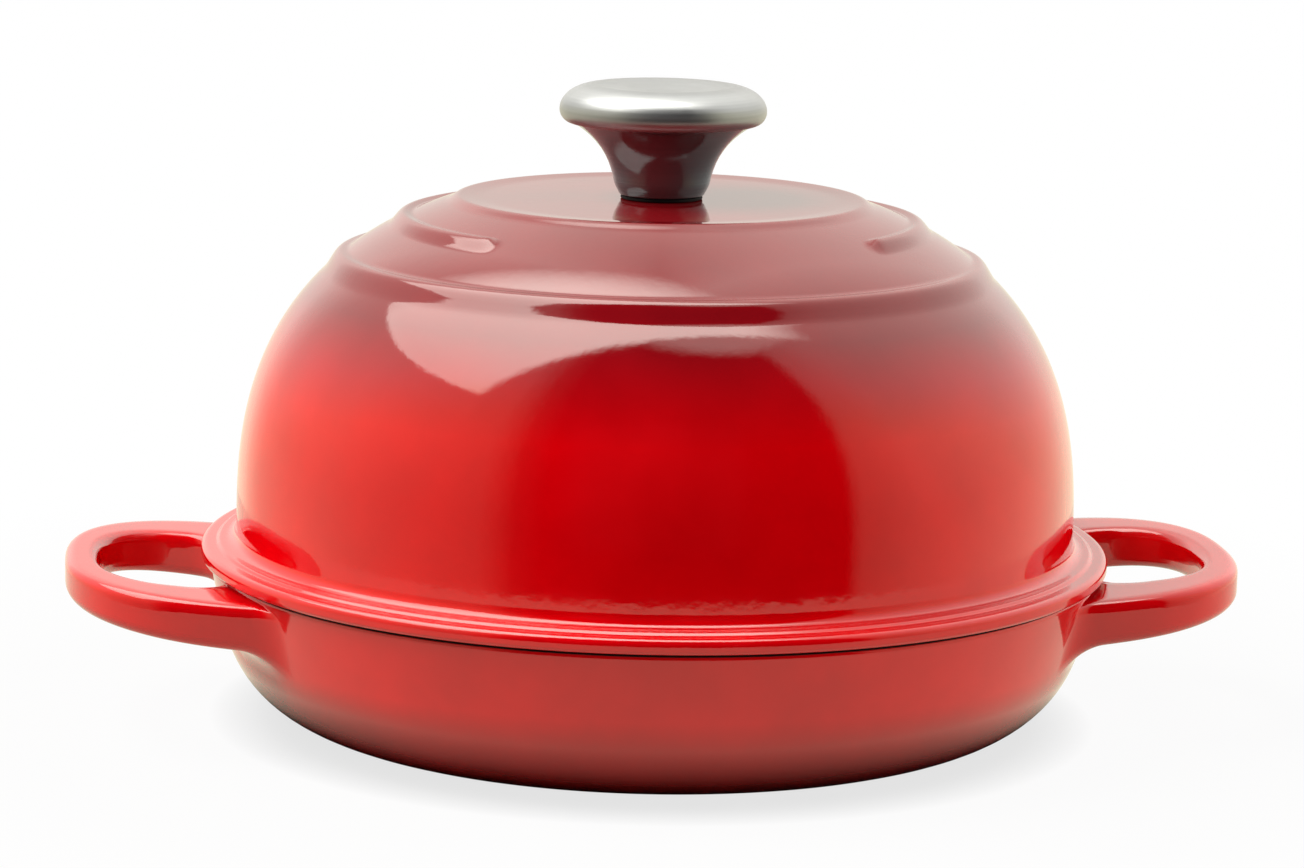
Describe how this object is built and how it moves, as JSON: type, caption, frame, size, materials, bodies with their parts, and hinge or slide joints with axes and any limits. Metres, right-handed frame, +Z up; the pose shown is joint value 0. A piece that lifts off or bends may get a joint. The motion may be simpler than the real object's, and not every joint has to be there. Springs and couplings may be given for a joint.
{
  "type": "dutch oven",
  "caption": "Round enamelled cast-iron bread oven: a shallow pan with loop handles, a tall domed lid with raised rings that lifts off, and a steel-capped knob screwed to the lid.",
  "frame": {"origin": "centre of the pan's flat underside, on the surface that the oven stands on", "axes": "+Z up along the axis of pan, lid and knob; +X along the line of the two handles; -Y to the front, where the lid's middle ring is open"},
  "size_m": [0.324, 0.25, 0.1752],
  "materials": {
    "red_enamel": "glossy cherry-red vitreous enamel outside, black satin enamel inside and on the rims",
    "cap_steel": "satin stainless steel",
    "stem_steel": "polished stainless steel",
    "black_silicone": "matt black",
    "hardware_steel": "plain stainless steel"
  },
  "bodies": {
    "pan": {"base_pan": "red_enamel"},
    "lid": {"dome_lid": "red_enamel", "knob_seat_ring": "black_silicone", "flat_washer": "hardware_steel", "spring_washer": "hardware_steel", "knob_screw": "hardware_steel"},
    "knob": {"knob_stem": "stem_steel", "knob_bush": "hardware_steel", "knob_cap": "cap_steel"}
  },
  "joints": [
    {"name": "lid_lift", "type": "slide", "parent": "pan", "child": "lid", "axis": [0, 0, 1], "range_m": [0, 0.15]},
    {"name": "knob_turn", "type": "hinge", "parent": "lid", "child": "knob", "pos_m": [0, 0, 0.155], "axis": [0, 0, 1], "continuous": true}
  ]
}
